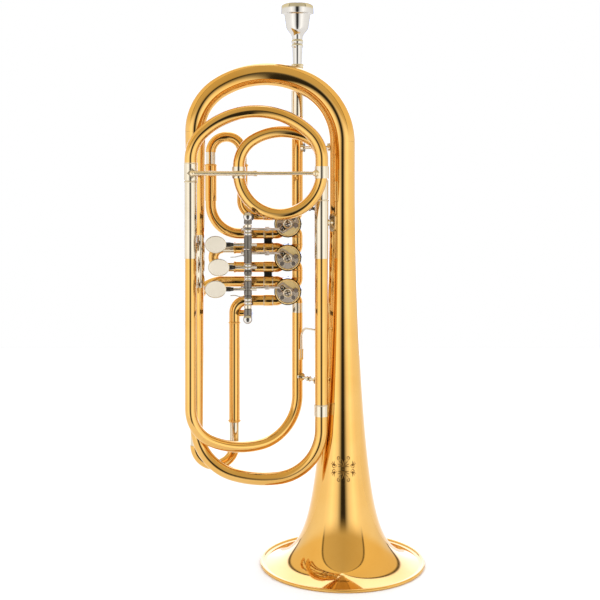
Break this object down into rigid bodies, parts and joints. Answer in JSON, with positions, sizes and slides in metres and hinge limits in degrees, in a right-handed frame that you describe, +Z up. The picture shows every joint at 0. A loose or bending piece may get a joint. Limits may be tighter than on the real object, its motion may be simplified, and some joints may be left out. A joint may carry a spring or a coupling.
{
  "type": "flugelhorn",
  "caption": "Rotary-valve flugelhorn standing on its bell, with levers, links, turning rotors, pulling slides and a removable mouthpiece.",
  "frame": {"origin": "centre of the bell mouth, in the plane of the bell rim", "axes": "+Z up the bell axis towards the mouthpiece, -Y the side with the finger levers, -X towards the slides"},
  "size_m": [0.22, 0.152, 0.518],
  "materials": {
    "lacquered_brass": "polished, clear lacquer",
    "nickel_silver": "polished nickel silver",
    "silver_plate": "polished silver plate",
    "steel": "polished steel",
    "cork": "matte"
  },
  "bodies": {
    "instrument": {"bell": "lacquered_brass", "bell_rim_wire": "steel", "main_bow": "lacquered_brass", "left_branch": "lacquered_brass", "left_branch_sleeve": "nickel_silver", "outer_bottom_bow": "lacquered_brass", "right_branch": "lacquered_brass", "tuning_receiver_right": "nickel_silver", "tuning_receiver_left": "nickel_silver", "inner_bottom_bow": "lacquered_brass", "exit_tube": "lacquered_brass", "tube_ferrules": "nickel_silver", "leadpipe": "lacquered_brass", "mouthpiece_receiver": "nickel_silver", "valve_casing_1": "lacquered_brass", "valve_casing_2": "lacquered_brass", "valve_casing_3": "lacquered_brass", "valve_front_plates": "nickel_silver", "rear_bearing_plates": "lacquered_brass", "rear_caps": "lacquered_brass", "stop_corks": "cork", "lever_axle": "steel", "axle_posts": "nickel_silver", "axle_post_screws": "steel", "lever_springs": "steel", "valve_knuckles": "lacquered_brass", "first_slide_tubes": "lacquered_brass", "second_slide_tubes": "lacquered_brass", "third_slide_tubes": "lacquered_brass", "slide_spacers": "steel", "leadpipe_bell_brace": "nickel_silver", "valve_brace": "steel", "leg_bell_brace": "nickel_silver", "lower_brace": "nickel_silver", "left_leg_brace": "nickel_silver", "finger_hook": "nickel_silver"},
    "tuning_slide": {"tuning_slide_bow": "lacquered_brass", "tuning_slide_coil": "lacquered_brass", "tuning_slide_ferrules": "nickel_silver", "tuning_inner_legs": "nickel_silver", "tuning_slide_brace": "nickel_silver"},
    "first_slide": {"first_slide_legs": "nickel_silver", "first_slide_bow": "lacquered_brass"},
    "second_slide": {"second_slide_legs": "nickel_silver", "second_slide_bow": "lacquered_brass"},
    "third_slide": {"third_slide_legs": "nickel_silver", "third_slide_bow": "lacquered_brass"},
    "mouthpiece_body": {"mouthpiece": "silver_plate"},
    "lever_1_body": {"lever_1": "steel"},
    "rotor_1_body": {"rotor_1": "lacquered_brass", "crank_1": "nickel_silver"},
    "link_1_body": {"link_1": "steel"},
    "lever_2_body": {"lever_2": "steel"},
    "rotor_2_body": {"rotor_2": "lacquered_brass", "crank_2": "nickel_silver"},
    "link_2_body": {"link_2": "steel"},
    "lever_3_body": {"lever_3": "steel"},
    "rotor_3_body": {"rotor_3": "lacquered_brass", "crank_3": "nickel_silver"},
    "link_3_body": {"link_3": "steel"}
  },
  "joints": [
    {"name": "tuning_slide_pull", "type": "slide", "parent": "instrument", "child": "tuning_slide", "axis": [0, 0, 1], "range_m": [0, 0.035]},
    {"name": "first_slide_pull", "type": "slide", "parent": "instrument", "child": "first_slide", "axis": [0, 0, 1], "range_m": [0, 0.02]},
    {"name": "second_slide_pull", "type": "slide", "parent": "instrument", "child": "second_slide", "axis": [-1, 0, 0], "range_m": [0, 0.015]},
    {"name": "third_slide_pull", "type": "slide", "parent": "instrument", "child": "third_slide", "axis": [0, 0, -1], "range_m": [-0.02, 0.03]},
    {"name": "mouthpiece_pull", "type": "slide", "parent": "instrument", "child": "mouthpiece_body", "axis": [0, 0, 1], "range_m": [0, 0.025]},
    {"name": "lever_1_press", "type": "hinge", "parent": "instrument", "child": "lever_1_body", "pos_m": [-0.0853, -0.036, 0.3125], "axis": [0, 0, -1], "range_deg": [0, 21], "stiffness_Nm_per_rad": 0.06, "springref_deg": -20.05},
    {"name": "rotor_1_turn", "type": "hinge", "parent": "instrument", "child": "rotor_1_body", "pos_m": [-0.0504, 0.013, 0.3125], "axis": [0, -1, 0], "range_deg": [0, 90]},
    {"name": "link_1_pivot", "type": "hinge", "parent": "rotor_1_body", "child": "link_1_body", "pos_m": [-0.05507, -0.0103, 0.30783], "axis": [0, -1, 0], "range_deg": [-90, 0]},
    {"name": "lever_2_press", "type": "hinge", "parent": "instrument", "child": "lever_2_body", "pos_m": [-0.0853, -0.036, 0.2812], "axis": [0, 0, -1], "range_deg": [0, 21], "stiffness_Nm_per_rad": 0.06, "springref_deg": -20.05},
    {"name": "rotor_2_turn", "type": "hinge", "parent": "instrument", "child": "rotor_2_body", "pos_m": [-0.0504, 0.013, 0.2812], "axis": [0, 1, 0], "range_deg": [0, 90]},
    {"name": "link_2_pivot", "type": "hinge", "parent": "rotor_2_body", "child": "link_2_body", "pos_m": [-0.05507, -0.0103, 0.28587], "axis": [0, 1, 0], "range_deg": [-90, 0]},
    {"name": "lever_3_press", "type": "hinge", "parent": "instrument", "child": "lever_3_body", "pos_m": [-0.0853, -0.036, 0.2499], "axis": [0, 0, -1], "range_deg": [0, 21], "stiffness_Nm_per_rad": 0.06, "springref_deg": -20.05},
    {"name": "rotor_3_turn", "type": "hinge", "parent": "instrument", "child": "rotor_3_body", "pos_m": [-0.0504, 0.013, 0.2499], "axis": [0, 1, 0], "range_deg": [0, 90]},
    {"name": "link_3_pivot", "type": "hinge", "parent": "rotor_3_body", "child": "link_3_body", "pos_m": [-0.05507, -0.0103, 0.25457], "axis": [0, 1, 0], "range_deg": [-90, 0]}
  ],
  "couplings": [
    {"joint": "rotor_1_turn", "follows": "lever_1_press", "ratio": 4.2857},
    {"joint": "link_1_pivot", "follows": "lever_1_press", "ratio": -4.2857},
    {"joint": "rotor_2_turn", "follows": "lever_2_press", "ratio": 4.2857},
    {"joint": "link_2_pivot", "follows": "lever_2_press", "ratio": -4.2857},
    {"joint": "rotor_3_turn", "follows": "lever_3_press", "ratio": 4.2857},
    {"joint": "link_3_pivot", "follows": "lever_3_press", "ratio": -4.2857}
  ]
}
